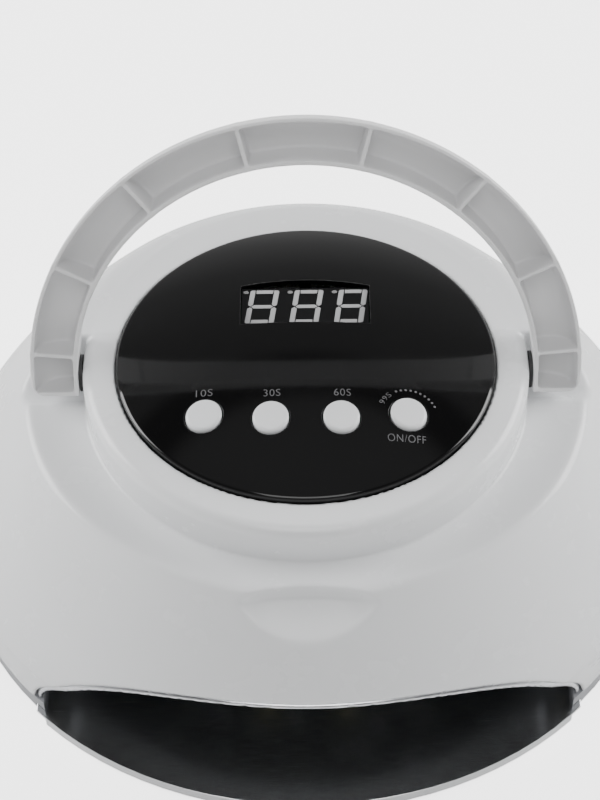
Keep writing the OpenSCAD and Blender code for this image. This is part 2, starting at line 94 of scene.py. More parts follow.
# Panel
PANEL_A = PANEL_HI[0]
PANEL_B = (PANEL_HI[1] - PANEL_LO[1]) / 2
PANEL_Y = (PANEL_HI[1] + PANEL_LO[1]) / 2
PANEL_R = 240.0
PANEL_T = 2.2
PANEL_TOP = PANEL_HI[2]
WINDOW_MARGIN, WINDOW_BOW = 0.2, 2.0
BUTTON_R = 6.0
BUTTON_GAP = 0.35
BUTTON_PROUD = 1.2
FLANGE_R, FLANGE_T, FLANGE_TOP = 7.4, 1.0, 99.4
STEM_R = 1.6
SKIRT_T, SKIRT_GAP = 1.2, 0.3

# Handle
HANDLE_OUT = HANDLE_HI[0]
HANDLE_IN = HANDLE_OUT - 16.4
HANDLE_HALF = 6.5
HANDLE_LEAN = math.radians(19)
HANDLE_RISE = 1.5
HANDLE_END = 7.2
HANDLE_CORNER = 5.0
SKIN, INNER_WALL, END_WALL = 1.4, 1.7, 1.6
RIB_ANGLES = [math.radians(a) for a in (5.5, 26.5, 50.5, 76.5)]
RIB_T = 1.4
SECTION_POWER = 2 / 0.85

# Hand opening and liner
ARCH_A, ARCH_TOP, ARCH_POWER = 93.5, 50.0, 2 / 0.75
TUNNEL_END = 40.0
FIT_GAP = 0.3
LINER_T = 2.0
LINER_A, LINER_RATIO = LINER_HI[0], 0.9
BEAD_HOLE, BEAD_Z = 2.9, 34.0


def ring_of(count, radius_x, radius_y, first=0.0):
    """Points evenly round an oval centred over the light board's middle."""
    turns = [math.radians(first + 360 * i / count) for i in range(count)]
    return [(radius_x * math.cos(t), 4 + radius_y * math.sin(t)) for t in turns]


CEILING_HOLES = [(0, 4)] + ring_of(6, 27, 25) + ring_of(12, 58, 50, 15) + [(-36, -50), (36, -50)]
WALL_HOLES = [math.radians(t) for t in (-11, 0, 11, 72, 84, 96, 108, 169, 180, 191)]


# ---------------------------------------------------------------- distance fields
def soft_min(a, b, k):
    """The nearer of two fields, with a fillet about k wide where they meet."""
    h = np.clip(0.5 + 0.5 * (b - a) / k, 0, 1)
    return b + (a - b) * h - k * h * (1 - h)


def soft_max(a, b, k):
    return -soft_min(-a, -b, k)


def cut(body, tool, k=0.8):
    return soft_max(body, -tool, k)


def slab(x, lo, hi):
    return np.maximum(lo - x, x - hi)


def oval_field(x, y, a, b, y0=0.0):
    """Distance to an upright oval prism, close to exact near its wall."""
    u, v = x / a, (y - y0) / b
    rho = np.sqrt(u * u + v * v) + 1e-9
    slope = np.sqrt((u / a) ** 2 + (v / b) ** 2) / rho
    return (rho - 1) / np.maximum(slope, 1e-4)


def super_field(u, v, a, b, power):
    """Distance to the curve (u/a)^power + (v/b)^power = 1, for u and v of either sign."""
    p, q = np.abs(u) / a + 1e-6, np.abs(v) / b + 1e-6
    total = p**power + q**power
    rho = total ** (1 / power)
    slope = rho / total * np.sqrt((p ** (power - 1) / a) ** 2 + (q ** (power - 1) / b) ** 2)
    return (rho - 1) / np.maximum(slope, 1e-4)


def dome_radius(z):
    """Radius of the dome across its width, and its slope, at height z."""
    up = np.clip((z - BELLY_Z) / (100.0 - BELLY_Z), 0, None)
    top = np.clip((z - 100.0 + TOP_ROUND_H) / TOP_ROUND_H, 0, None)
    low = np.clip((BELLY_Z - z) / (BELLY_Z - EDGE_Z), 0, None)
    radius = BELLY_R - SHOULDER_DROP * up**SHOULDER_EXP - TOP_ROUND_W * top**3 - FOOT_TUCK * low**2
    slope = (
        -SHOULDER_DROP * SHOULDER_EXP * up ** (SHOULDER_EXP - 1) / (100.0 - BELLY_Z)
        - 3 * TOP_ROUND_W * top**2 / TOP_ROUND_H
        + 2 * FOOT_TUCK * low / (BELLY_Z - EDGE_Z)
    )
    return radius, slope


def dome_field(p):
    x, y, z = p
    v = y / DEPTH_RATIO
    rho = np.sqrt(x * x + v * v) + 1e-6
    radius, slope = dome_radius(z)
    steep = np.sqrt((x / rho) ** 2 + (v / rho / DEPTH_RATIO) ** 2 + slope**2)
    return soft_max((rho - radius) / steep, z - TOP_Z, 2.0)


def seat_field(p):
    """The space the folded handle lies and swings in, outside the collar."""
    x, y, z = p
    seat = soft_max(y, SEAT_Z - z, 1.0)
    trough = np.sqrt(y * y + (z - PIVOT[2]) ** 2) - SWING_R
    above = np.maximum(np.abs(y) - SWING_R, PIVOT[2] - z)
    return soft_min(seat, np.minimum(trough, above), 1.2)


def scoop_field(p):
    """The half-moon hollow that lets a finger under the folded handle."""
    x, y, z = p
    wall = np.hypot(x, y + SCOOP_EDGE + SCOOP_WALL_R) - SCOOP_WALL_R
    rise = -(y + SCOOP_EDGE) * math.sin(SCOOP_SLOPE) + (z - SCOOP_FLOOR_Z) * math.cos(SCOOP_SLOPE)
    floor = super_field(x, np.minimum(rise - SCOOP_DEPTH, 0), SCOOP_HALF_W, SCOOP_DEPTH, 2)
    return soft_max(soft_max(floor, wall, 1.0), y + SCOOP_EDGE - 4, 0.5)


def collar_field(p):
    x, y, z = p
    wall = np.sqrt(x * x + y * y) - COLLAR_R
    edge = 4.0
    corner = np.hypot(np.maximum(wall + edge, 0), np.maximum(z - TOP_Z + edge, 0)) - edge
    inside = np.minimum(np.maximum(wall + edge, z - TOP_Z + edge), 0)
    return np.maximum(corner + inside, SEAT_Z - 6 - z)


def outer_field(p):
    body = cut(dome_field(p), seat_field(p), 1.6)
    body = cut(body, scoop_field(p), 1.2)
    return soft_min(body, collar_field(p), 0.9)


def arch_field(p, grow):
    return super_field(p[0], np.maximum(p[2], 0), ARCH_A + grow, ARCH_TOP + grow, ARCH_POWER)


def shell_field(p):
    x, y, z = p
    outer = outer_field(p)
    body = cut(outer, outer + SHELL_T, 0.6)
    lip = oval_field(x, y, PANEL_A + LIP_OUT, PANEL_B + LIP_OUT, PANEL_Y)
    lip = np.maximum(lip, slab(z, LIP_Z, TOP_Z - 1.2))
    body = np.minimum(body, lip)
    well = oval_field(x, y, PANEL_A + FIT_GAP, PANEL_B + FIT_GAP, PANEL_Y)
    body = cut(body, np.maximum(well, PANEL_SEAT - z), 0.7)
    body = np.maximum(body, -oval_field(x, y, PANEL_A - LIP_IN, PANEL_B - LIP_IN, PANEL_Y))
    body = soft_max(body, EDGE_Z - z, 0.6)
    opening = np.maximum(arch_field(p, LINER_T + FIT_GAP), y + TUNNEL_END)
    body = cut(body, opening, 2.0)
    stub = np.maximum(np.hypot(y, z - PIVOT[2]) - STUB_R - 0.05, 66 - np.abs(x))
    body = cut(body, stub, 0.4)
    jack = np.maximum(np.hypot(x, z - (JACK_LO[2] + JACK_HI[2]) / 2) - JACK_BORE, 100 - y)
    return cut(body, jack, 0.6)


def handle_section(rho, y):
    """The quarter-round channel: how far outside its form and outside its hollow a point is."""
    width = HANDLE_OUT - HANDLE_IN
    v = y + HANDLE_HALF
    depth = 2 * HANDLE_HALF
    form = super_field(np.maximum(rho - HANDLE_IN, 0), np.maximum(v, 0), width, depth, SECTION_POWER)
    form = soft_max(form, HANDLE_IN - rho, 0.9)
    form = soft_max(form, -v, 0.5)
    r0 = HANDLE_IN + INNER_WALL
    back = depth - SKIN
    hollow = super_field(
        np.maximum(rho - r0, 0), np.maximum(v, 0), width - INNER_WALL - SKIN, back, SECTION_POWER
    )
    return form, soft_max(hollow, r0 - rho, 1.2)


def handle_field(p):
    """The handle in its own frame: hinge at the origin, arch upright in the XZ plane."""
    x, y, hinge_z = p
    z = hinge_z - HANDLE_RISE
    rho = np.where(z > 0, np.hypot(x, z), np.abs(x))
    form, hollow = handle_section(rho, y)
    corner_x = np.maximum(np.abs(x) - HANDLE_OUT + HANDLE_CORNER, 0)
    corner_z = np.maximum(HANDLE_CORNER - HANDLE_END - z, 0)
    form = np.where(z > 0, form, soft_max(form, np.hypot(corner_x, corner_z) - HANDLE_CORNER, 0.8))
    hollow = soft_max(hollow, END_WALL - HANDLE_END - z, 1.2)
    body = cut(form, hollow, 0.5)
    ribs = np.full_like(body, 1e3)
    for angle in RIB_ANGLES:
        across = np.abs(z * math.cos(angle) - np.abs(x) * math.sin(angle)) - RIB_T / 2
        ribs = np.minimum(ribs, np.where(rho < HANDLE_IN, 1e3, across))
    rib_body = soft_max(ribs, soft_max(form + 0.4, -HANDLE_HALF + 0.5 - y, 0.4), 0.5)
    body = soft_min(body, rib_body, 0.9)
    stub = np.maximum(np.hypot(y, hinge_z) - STUB_R, slab(np.abs(x), 68.7, HANDLE_IN + 1))
    body = soft_min(body, stub, 0.5)
    bore = np.maximum(np.hypot(y, hinge_z) - 1.45, slab(np.abs(x), 60, HANDLE_IN))
    return np.maximum(body, -bore)


BUTTONS = {}
for _name in ("button_10s", "button_30s", "button_60s", "button_power"):
    _lo, _hi = box_mm(_name)
    BUTTONS[_name] = (_lo + _hi) / 2


def panel_ball(p, drop=0.0):
    x, y, z = p
    return np.sqrt(x * x + (y - PANEL_Y) ** 2 + (z - PANEL_TOP + PANEL_R) ** 2) - PANEL_R + drop


def panel_field(p):
    x, y, z = p
    side = oval_field(x, y, PANEL_A, PANEL_B, PANEL_Y)
    outer = soft_max(panel_ball(p), side, 1.3)
    body = np.maximum(outer, PANEL_SEAT - z)
    inner = np.maximum(panel_ball(p, PANEL_T), side + PANEL_T)
    body = np.maximum(body, -inner)
    half_w = (MODULE_HI[0] - MODULE_LO[0]) / 2 + WINDOW_MARGIN
    bow = WINDOW_BOW * np.clip(1 - (x / half_w) ** 2, 0, 1)
    window = np.maximum(
        np.abs(x) - half_w,
        np.maximum(MODULE_LO[1] - WINDOW_MARGIN - y, y - MODULE_HI[1] - WINDOW_MARGIN - bow),
    )
    skirt = np.maximum(window - SKIRT_T, MODULE_HI[2] + SKIRT_GAP - z)
    body = np.minimum(body, np.maximum(skirt, panel_ball(p, PANEL_T / 2)))
    body = cut(body, window, 0.35)
    for centre in BUTTONS.values():
        hole = np.hypot(x - centre[0], y - centre[1]) - BUTTON_R - BUTTON_GAP
        body = cut(body, hole, 0.5)
    return body


def liner_rings(inset):
    """(radius, height) of the liner's form from its foot to its ceiling."""
    a = LINER_A - inset
    return [(a, 0.0), (a, 42.0), (a - 3.5, 50.0), (a - 12.0, 57.0), (a - 24.0, 62.0 - inset)]


def liner_form(p, inset):
    x, y, z = p
    rho = np.hypot(x, y / LINER_RATIO) + 1e-6
    squeeze = np.sqrt((x / rho) ** 2 + (y / LINER_RATIO / rho / LINER_RATIO) ** 2)
    rings = liner_rings(inset)
    field = np.full_like(x, -1e3)
    for (r0, z0), (r1, z1) in zip(rings, rings[1:]):
        run = math.hypot(r1 - r0, z1 - z0)
        plane = ((rho - r0) * (z1 - z0) - (z - z0) * (r1 - r0)) / run
        field = soft_max(field, plane / squeeze, 3.0)
    return soft_max(field, z - 62.0 + inset, 3.0)


def liner_field(p):
    x, y, z = p
    tunnel = soft_max(np.maximum(arch_field(p, LINER_T), y + TUNNEL_END), dome_field(p) + 1.0, 1.4)
    body = soft_min(liner_form(p, 0), tunnel, 1.2)
    body = cut(body, liner_form(p, LINER_T), 0.6)
    body = cut(body, np.maximum(arch_field(p, 0), y + 20), 1.8)
    for at_x, at_y in CEILING_HOLES:
        body = cut(body, np.maximum(np.hypot(x - at_x, y - at_y) - BEAD_HOLE, 55 - z), 0.4)
    for turn in WALL_HOLES:
        cx, cy = LINER_A * math.cos(turn), LINER_A * LINER_RATIO * math.sin(turn)
        out = math.atan2(math.sin(turn) / LINER_RATIO, math.cos(turn))
        dx, dy = math.cos(out), math.sin(out)
        along = (x - cx) * dx + (y - cy) * dy
        side = (y - cy) * dx - (x - cx) * dy
        body = cut(body, np.maximum(np.hypot(side, z - BEAD_Z) - BEAD_HOLE, np.abs(along) - 6), 0.4)
    return soft_max(body, LINER_LO[2] - z, 0.4)


# ---------------------------------------------------------------- surface nets
def gradient(field, points, step=0.03):
    """Unit normal of the field at each point."""
    slope = np.empty_like(points)
    for axis in range(3):
        shift = np.zeros(3)
        shift[axis] = step
        slope[:, axis] = field((points + shift).T) - field((points - shift).T)
    size = np.linalg.norm(slope, axis=1, keepdims=True) + 1e-12
    return slope / size, size[:, 0] / (2 * step)


def surface_net(field, lo, hi, step):
    """Vertices and quads of the field's surface inside a box, with the vertices drawn onto it."""
    axes = [np.arange(a, b + step, step) for a, b in zip(lo, hi)]
    grid = np.meshgrid(*axes, indexing="ij", sparse=True)
    values = np.asarray(field(np.broadcast_arrays(*grid)), float)
    inside = values < 0
    shape = tuple(n - 1 for n in values.shape)
    total, count = np.zeros(shape + (3,)), np.zeros(shape)
    for axis in range(3):
        head = [slice(None)] * 3
        tail = [slice(None)] * 3
        head[axis], tail[axis] = slice(0, -1), slice(1, None)
        crosses = inside[tuple(head)] != inside[tuple(tail)]
        at = np.argwhere(crosses)
        v0, v1 = values[tuple(head)][crosses], values[tuple(tail)][crosses]
        point = at.astype(float)
        point[:, axis] += v0 / (v0 - v1)
        others = [a for a in range(3) if a != axis]
        for da in (0, 1):
            for db in (0, 1):
                cell = at.copy()
                cell[:, others[0]] -= da
                cell[:, others[1]] -= db
                ok = np.all((cell >= 0) & (cell < shape), axis=1)
                key = tuple(cell[ok].T)
                np.add.at(total, key, point[ok])
                np.add.at(count, key, 1)
    used = count > 0
    index = np.full(shape, -1)
    index[used] = np.arange(used.sum())
    verts = total[used] / count[used][:, None] * step + np.array(lo)
    quads = []
    for axis in range(3):
        head = [slice(None)] * 3
        tail = [slice(None)] * 3
        head[axis], tail[axis] = slice(0, -1), slice(1, None)
        crosses = inside[tuple(head)] != inside[tuple(tail)]
        at = np.argwhere(crosses)
        u, w = (axis + 1) % 3, (axis + 2) % 3
        ok = (at[:, u] > 0) & (at[:, w] > 0) & (at[:, u] < shape[u]) & (at[:, w] < shape[w])
        at = at[ok]
        outward = inside[tuple(head)][tuple(at.T)]
        ring = []
        for du, dw in ((1, 1), (0, 1), (0, 0), (1, 0)):
            cell = at.copy()
            cell[:, u] -= du
            cell[:, w] -= dw
            ring.append(index[tuple(cell.T)])
        quad = np.stack(ring, axis=1)
        quad[~outward] = quad[~outward][:, ::-1]
        quads.append(quad)
    for _ in range(4):
        normal, size = gradient(field, verts)
        off = np.clip(field(verts.T) / np.maximum(size, 0.3), -step / 2, step / 2)
        verts = verts - normal * off[:, None]
    return verts, np.concatenate(quads)


def add_mesh(name, verts, faces, normals=None):
    """A mesh object from points in millimetres."""
    mesh = bpy.data.meshes.new(name)
    mesh.from_pydata(np.asarray(verts, float) * MM, [], np.asarray(faces).tolist())
    mesh.validate()
    mesh.shade_smooth()
    if normals is not None:
        mesh.normals_split_custom_set_from_vertices(normals)
    piece = bpy.data.objects.new(name, mesh)
    bpy.context.scene.collection.objects.link(piece)
    return piece


def thinned(piece, ratio):
    """The piece's mesh with the given share of its triangles."""
    modifier = piece.modifiers.new("thin", "DECIMATE")
    modifier.ratio = ratio
    depsgraph = bpy.context.evaluated_depsgraph_get()
    mesh = bpy.data.meshes.new_from_object(piece.evaluated_get(depsgraph))
    piece.modifiers.clear()
    old = piece.data
    piece.data = mesh
    bpy.data.meshes.remove(old)
    mesh.name = piece.name
    return piece


def moulded(name, field, lo, hi, step, ratio=1.0, place=None):
    """A smooth moulded piece from its field. place turns its own frame into the row frame."""
    verts, quads = surface_net(field, lo, hi, step)
    piece = add_mesh(name, verts, quads)
    if ratio < 1:
        thinned(piece, ratio)
    mesh = piece.data
    mesh.shade_smooth()
    points = np.empty(len(mesh.vertices) * 3)
    mesh.vertices.foreach_get("co", points)
    points = points.reshape(-1, 3) / MM
    normals, _ = gradient(field, points)
    if place is not None:
        mesh.transform(place)
        normals = normals @ np.array(place.to_3x3()).T
    mesh.normals_split_custom_set_from_vertices(normals)
    return piece


# ---------------------------------------------------------------- materials
def material(name, color, roughness, metallic=0.0, coat=0.0, ior=1.46):
    """A named material and its Principled shader."""
    mat = bpy.data.materials.new(name)
    mat.use_nodes = True
    shader = mat.node_tree.nodes["Principled BSDF"]
    shader.inputs["Base Color"].default_value = (*color, 1)
    shader.inputs["Roughness"].default_value = roughness
    shader.inputs["Metallic"].default_value = metallic
    shader.inputs["Coat Weight"].default_value = coat
    shader.inputs["Coat Roughness"].default_value = 0.08
    shader.inputs["IOR"].default_value = ior
    return mat, shader


def noise(mat, scale, detail=3.0, rough=0.5, stretch=(1, 1, 1)):
    """Noise in the object's own metres, scale in cycles per metre."""
    nodes, links = mat.node_tree.nodes, mat.node_tree.links
    where = nodes.new("ShaderNodeTexCoord")
    mapping = nodes.new("ShaderNodeMapping")
    mapping.inputs["Scale"].default_value = stretch
    texture = nodes.new("ShaderNodeTexNoise")
    texture.inputs["Scale"].default_value = scale
    texture.inputs["Detail"].default_value = detail
    texture.inputs["Roughness"].default_value = rough
    links.new(where.outputs["Object"], mapping.inputs["Vector"])
    links.new(mapping.outputs["Vector"], texture.inputs["Vector"])
    return texture.outputs["Fac"]


def spread(mat, value, low, high):
    """Maps the middle of a noise value to the range from low to high."""
    node = mat.node_tree.nodes.new("ShaderNodeMapRange")
    node.inputs["From Min"].default_value = 0.3
    node.inputs["From Max"].default_value = 0.7
    node.inputs["To Min"].default_value = low
    node.inputs["To Max"].default_value = high
    mat.node_tree.links.new(value, node.inputs["Value"])
    return node.outputs["Result"]


def tint(mat, shader, value, color_a, color_b):
    """Base colour between two colours, by a value from 0 to 1."""
    mix = mat.node_tree.nodes.new("ShaderNodeMix")
    mix.data_type = "RGBA"
    mix.inputs["A"].default_value = (*color_a, 1)
    mix.inputs["B"].default_value = (*color_b, 1)
    mat.node_tree.links.new(value, mix.inputs["Factor"])
    mat.node_tree.links.new(mix.outputs["Result"], shader.inputs["Base Color"])


def bump(mat, shader, value, depth_mm, strength=1.0):
    node = mat.node_tree.nodes.new("ShaderNodeBump")
    node.inputs["Strength"].default_value = strength
    node.inputs["Distance"].default_value = depth_mm * MM
    mat.node_tree.links.new(value, node.inputs["Height"])
    mat.node_tree.links.new(node.outputs["Normal"], shader.inputs["Normal"])


def moulded_plastic(name, color, roughness, grain_mm=0.01, coat=0.0, dirt=0.03):
    """Injection-moulded plastic: faint orange peel, patchy sheen, slight colour variation."""
    mat, shader = material(name, color, roughness, coat=coat)
    patch = spread(mat, noise(mat, 22, 4), 0, 1)
    darker = tuple(c * (1 - dirt) for c in color)
    tint(mat, shader, patch, darker, color)
    sheen = spread(mat, noise(mat, 60, 5, 0.6), roughness * 0.88, roughness * 1.12)
    mat.node_tree.links.new(sheen, shader.inputs["Roughness"])
    bump(mat, shader, noise(mat, 900, 2), grain_mm)
    return mat


def brushed_metal(name, color, roughness, stretch=(1, 40, 40), grain_mm=0.004):
    mat, shader = material(name, color, roughness, metallic=1.0)
    streak = noise(mat, 120, 6, 0.7, stretch)
    tint(mat, shader, spread(mat, streak, 0, 1), tuple(c * 0.86 for c in color), color)
    sheen = spread(mat, streak, roughness * 0.7, roughness * 1.4)
    mat.node_tree.links.new(sheen, shader.inputs["Roughness"])
    bump(mat, shader, streak, grain_mm)
    return mat


def circuit_board(name, color):
    """Solder mask with the faint relief of tracks under it."""
    mat, shader = material(name, color, 0.4)
    nodes, links = mat.node_tree.nodes, mat.node_tree.links
    where = nodes.new("ShaderNodeTexCoord")
    tracks = nodes.new("ShaderNodeTexBrick")
    tracks.inputs["Scale"].default_value = 180
    tracks.inputs["Mortar Size"].default_value = 0.05
    links.new(where.outputs["Object"], tracks.inputs["Vector"])
    tint(mat, shader, tracks.outputs["Fac"], color, tuple(min(1, c * 1.35 + 0.02) for c in color))
    bump(mat, shader, tracks.outputs["Fac"], 0.03)
    return mat


def rubbery(name, color, roughness=0.75):
    mat, shader = material(name, color, roughness)
    speck = spread(mat, noise(mat, 500, 4), 0, 1)
    tint(mat, shader, speck, tuple(c * 0.8 for c in color), tuple(c * 1.25 for c in color))
    bump(mat, shader, noise(mat, 1400, 3), 0.03)
    return mat


MATERIALS = {
    "shell_white": moulded_plastic("shell_white", (0.80, 0.81, 0.82), 0.26, 0.004, coat=0.15, dirt=0.015),
    "handle_white": moulded_plastic("handle_white", (0.79, 0.79, 0.795), 0.36, 0.008, dirt=0.02),
    "panel_black": moulded_plastic("panel_black", (0.0028, 0.0028, 0.003), 0.09, 0.0015, dirt=0.2),
    "display_black": moulded_plastic("display_black", (0.004, 0.004, 0.0045), 0.32, 0.01, dirt=0.2),
    "segment_grey": moulded_plastic("segment_grey", (0.40, 0.40, 0.405), 0.42, 0.01),
    "button_white": moulded_plastic("button_white", (0.80, 0.81, 0.82), 0.32, 0.008),
    "inner_black": moulded_plastic("inner_black", (0.02, 0.02, 0.021), 0.5, 0.03, dirt=0.2),
    "liner_silver": brushed_metal("liner_silver", (0.82, 0.83, 0.85), 0.22, (1, 1, 12)),
    "board_green": circuit_board("board_green", (0.02, 0.12, 0.05)),
    "board_white": circuit_board("board_white", (0.78, 0.78, 0.74)),
    "led_lens": moulded_plastic("led_lens", (0.75, 0.70, 0.38), 0.12, 0.01, coat=0.8),
    "sensor_dark": moulded_plastic("sensor_dark", (0.02, 0.008, 0.03), 0.08, 0.002, coat=0.8),
    "steel": brushed_metal("steel", (0.62, 0.62, 0.63), 0.3, (1, 1, 1)),
    "tray_steel": brushed_metal("tray_steel", (0.74, 0.75, 0.76), 0.2),
    "brass": brushed_metal("brass", (0.72, 0.53, 0.22), 0.28, (1, 1, 20)),
    "heat_sink": brushed_metal("heat_sink", (0.70, 0.71, 0.73), 0.4, (1, 30, 1)),
    "capacitor_sleeve": moulded_plastic("capacitor_sleeve", (0.02, 0.03, 0.09), 0.25, 0.01),
    "ribbon_grey": moulded_plastic("ribbon_grey", (0.40, 0.40, 0.42), 0.45, 0.02),
    "lead_black": rubbery("lead_black", (0.02, 0.02, 0.02), 0.5),
    "lead_red": rubbery("lead_red", (0.35, 0.02, 0.015), 0.5),
    "frame_grey": moulded_plastic("frame_grey", (0.30, 0.305, 0.32), 0.42, 0.03, dirt=0.06),
    "magnet": brushed_metal("magnet", (0.68, 0.68, 0.70), 0.15, (1, 1, 1)),
    "foot_rubber": rubbery("foot_rubber", (0.025, 0.025, 0.025)),
}
SLOTS = {part["node"]: part["material_slot"] for part in frame["record"]["subparts"]}
BODY_OF = {n: b for b, ns in frame["record"]["behaviour"]["bodies"].items() for n in ns}
for node_name, node_object in frame["nodes"].items():
    node_object.data.materials.clear()
    node_object.data.materials.append(MATERIALS[SLOTS[node_name]])


def stands_for(piece, node):
    """The piece replaces a CAD node: same body, same finish."""
    piece.data.materials.clear()
    piece.data.materials.append(MATERIALS[SLOTS[node]])
    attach(piece, BODY_OF[node])
    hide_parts(node)


# ---------------------------------------------------------------- the moulded pieces
MARGIN = 2.0
shell_piece = moulded("shell_moulding", shell_field, SHELL_LO - MARGIN, SHELL_HI + MARGIN, 1.0, 0.42)
stands_for(shell_piece, "top_shell")

panel_piece = moulded("panel_moulding", panel_field, PANEL_LO - MARGIN, PANEL_HI + MARGIN, 0.45, 0.4)
stands_for(panel_piece, "display_panel")

handle_place = Matrix.Translation(Vector(PIVOT * MM)) @ Matrix.Rotation(-HANDLE_LEAN, 4, "X")
handle_piece = moulded(
    "handle_moulding",
    handle_field,
    (-HANDLE_OUT - 1, -HANDLE_HALF - 1, -HANDLE_END),
    (HANDLE_OUT + 1, HANDLE_HALF + 1, HANDLE_OUT + HANDLE_RISE + 1),
    0.5,
    0.6,
    handle_place,
)
stands_for(handle_piece, "carry_handle")


liner_piece = moulded("liner_moulding", liner_field, LINER_LO - MARGIN, LINER_HI + MARGIN, 1.0, 0.5)
stands_for(liner_piece, "inner_liner")


def panel_height(x, y, lift=0.0):
    """Height of the panel's face, or of a face lift above it."""
    reach = (PANEL_R + lift) ** 2 - x * x - (y - PANEL_Y) ** 2
    return PANEL_TOP - PANEL_R + math.sqrt(reach)


def button_piece(name):
    """A button: a cap that follows the panel's curve, its rim rounded, with flange and stem below."""
    centre = BUTTONS[name]
    lo = box_mm(name)[0]
    edge = 1.1
    rings = [(r, 0.0) for r in np.linspace(0.02, BUTTON_R - edge, 9)]
    rings += [
        (BUTTON_R - edge + edge * math.sin(t), edge * (1 - math.cos(t)))
        for t in np.linspace(0, math.pi / 2, 8)[1:]
    ]
    count = 96
    verts, faces = [], []
    angles = np.linspace(0, 2 * math.pi, count, endpoint=False)
    for radius, drop in rings:
        for a in angles:
            x, y = centre[0] + radius * math.cos(a), centre[1] + radius * math.sin(a)
            verts.append((x, y, panel_height(x, y, BUTTON_PROUD) - drop))
    flange_low = FLANGE_TOP - FLANGE_T
    lower = [(BUTTON_R, FLANGE_TOP), (FLANGE_R, FLANGE_TOP), (FLANGE_R, flange_low)]
    lower += [(STEM_R, flange_low), (STEM_R, lo[2])]
    for radius, z in lower:
        for a in angles:
            verts.append((centre[0] + radius * math.cos(a), centre[1] + radius * math.sin(a), z))
    levels = len(rings) + len(lower)
    for k in range(levels - 1):
        for i in range(count):
            j = (i + 1) % count
            faces.append((k * count + i, (k + 1) * count + i, (k + 1) * count + j, k * count + j))
    faces.append(list(range(count)))
    faces.append(list(range(levels * count - 1, (levels - 1) * count - 1, -1)))
    mesh = bpy.data.meshes.new(name + "_cap")
    mesh.from_pydata([tuple(c * MM for c in v) for v in verts], [], faces)
    mesh.shade_smooth()
    mesh.set_sharp_from_angle(angle=math.radians(40))
    piece = bpy.data.objects.new(name + "_cap", mesh)
    bpy.context.scene.collection.objects.link(piece)
    return piece


for button_name in BUTTONS:
    stands_for(button_piece(button_name), button_name)

# ---------------------------------------------------------------- carried-over CAD nodes
BEVELS = {"base_frame": 0.4, "base_tray": 0.2, "dc_jack": 0.3, "rubber_feet": 0.5, "display_module": 0.1}


def finish_node(name, node):
    """Joins a CAD node's vertices, rounds its edges if it is listed, and splits them for shading."""
    weld = node.modifiers.new("weld", "WELD")
    weld.merge_threshold = 0.00001
    if name in BEVELS:
        flat = node.modifiers.new("flat", "DECIMATE")
        flat.decimate_type = "DISSOLVE"
        flat.angle_limit = math.radians(0.3)
        bevel = node.modifiers.new("bevel", "BEVEL")
        bevel.width = BEVELS[name] * MM
        bevel.segments = 2
        bevel.limit_method = "ANGLE"
        bevel.angle_limit = math.radians(40)
    split = node.modifiers.new("edges", "EDGE_SPLIT")
    split.split_angle = math.radians(32)


for node_name, node_object in frame["nodes"].items():
    if not node_object.hide_render:
        finish_node(node_name, node_object)

# ---------------------------------------------------------------- the digits
DIGIT_AT, DIGIT_PITCH, DIGIT_SLANT = (0.45, 17.4), 15.35, 0.13
DIGIT_H, DIGIT_W, BAR_W, BAR_H = 15.6, 10.0, 1.75, 1.55
DOT_AT, DOT_SIZE = (-5.6, 0.9), (0.95, 0.7)


def bar_outlines():
    """Outlines of a digit's seven bars: rounded outer corners, mitred waists, a pointed middle bar."""
    w, h, b, t = DIGIT_W / 2, DIGIT_H / 2, BAR_W, BAR_H
    r, slit, waist = 0.85, 0.3, 0.24
    corner = [
        (-w + r - r * math.cos(a), h - r + r * math.sin(a)) for a in np.linspace(0, math.pi / 2, 7)
    ]
    post = corner + [(-w + b, h), (-w + b, t / 2 + waist), (-w + b * 0.5, waist), (-w, t / 2 + waist * 0.6)]
    inner = w - b - slit
    top = [(-inner, h), (inner, h), (inner - 0.15, h - t), (-inner + 0.15, h - t)]
    tip = w - b * 0.5 - slit
    half = [(-tip, 0), (-inner + 0.2, t / 2), (inner - 0.2, t / 2)]
    middle = half + [(-x, -y) for x, y in half]
    bars = [middle]
    for sy in (1, -1):
        bars.append([(x, sy * y) for x, y in top])
        for sx in (1, -1):
            bars.append([(sx * x, sy * y) for x, y in post])
    return bars


def flat_plates(name, outlines, top, thickness):
    """One mesh of flat plates with the given outlines, their faces at height top."""
    verts, faces = [], []
    for outline in outlines:
        area = sum(x0 * y1 - x1 * y0 for (x0, y0), (x1, y1) in zip(outline, outline[1:] + outline[:1]))
        ring = outline if area > 0 else outline[::-1]
        n, start = len(ring), len(verts)
        verts += [(x, y, top) for x, y in ring]
        faces.append([start + i for i in range(n)])
        if thickness == 0:
            continue
        verts += [(x, y, top - thickness) for x, y in ring]
        faces.append([start + n + i for i in reversed(range(n))])
        for i in range(n):
            j = (i + 1) % n
            faces.append([start + i, start + n + i, start + n + j, start + j])
    mesh = bpy.data.meshes.new(name)
    mesh.from_pydata([tuple(c * MM for c in v) for v in verts], [], faces)
    piece = bpy.data.objects.new(name, mesh)
    bpy.context.scene.collection.objects.link(piece)
    return piece


def digits():
    bars, dots = [], []
    for k in (-1, 0, 1):
        cx, cy = DIGIT_AT[0] + k * DIGIT_PITCH, DIGIT_AT[1]
        for outline in bar_outlines():
            bars.append([(cx + x + DIGIT_SLANT * y, cy + y) for x, y in outline])
        dx, dy = cx + DOT_AT[0], cy + DIGIT_H / 2 - DOT_AT[1]
        turns = np.linspace(0, 2 * math.pi, 24, endpoint=False)
        dots.append([(dx + DOT_SIZE[0] * math.cos(t), dy + DOT_SIZE[1] * math.sin(t)) for t in turns])
    return bars, dots


